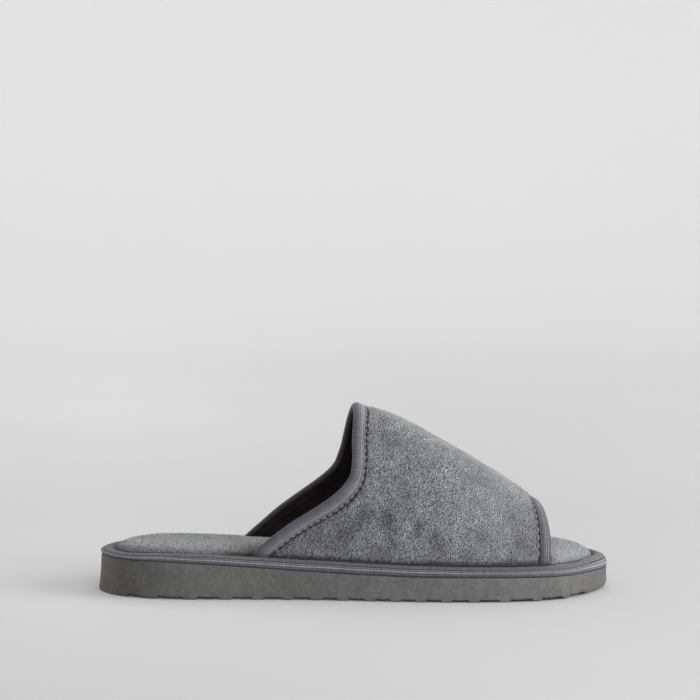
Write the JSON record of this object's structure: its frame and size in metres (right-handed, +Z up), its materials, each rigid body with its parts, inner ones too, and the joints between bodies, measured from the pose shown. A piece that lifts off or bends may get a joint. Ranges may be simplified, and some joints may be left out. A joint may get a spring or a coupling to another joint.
{
  "type": "scuff slipper",
  "caption": "Backless open-toed house slipper for a right foot, with a grey towelling upper, tape-bound edges, padded footbed and barred foam outsole.",
  "frame": {"origin": "on the floor, under the middle of the slipper's bounding box", "axes": "+X from heel to toe, +Y towards the inner side of the foot, +Z up"},
  "size_m": [0.2854, 0.1031, 0.1034],
  "materials": {
    "foam_sole": "matte moulded foam",
    "rim_tape": "ribbed tape, slight sheen",
    "footbed_towelling": "short looped towelling",
    "upper_towelling": "looped towelling",
    "edge_tape": "ribbed tape, slight sheen"
  },
  "bodies": {
    "root": {"outsole": "foam_sole", "footbed_binding": "rim_tape", "footbed": "footbed_towelling", "upper": "upper_towelling", "collar_binding": "edge_tape", "toe_binding": "edge_tape"}
  },
  "joints": []
}
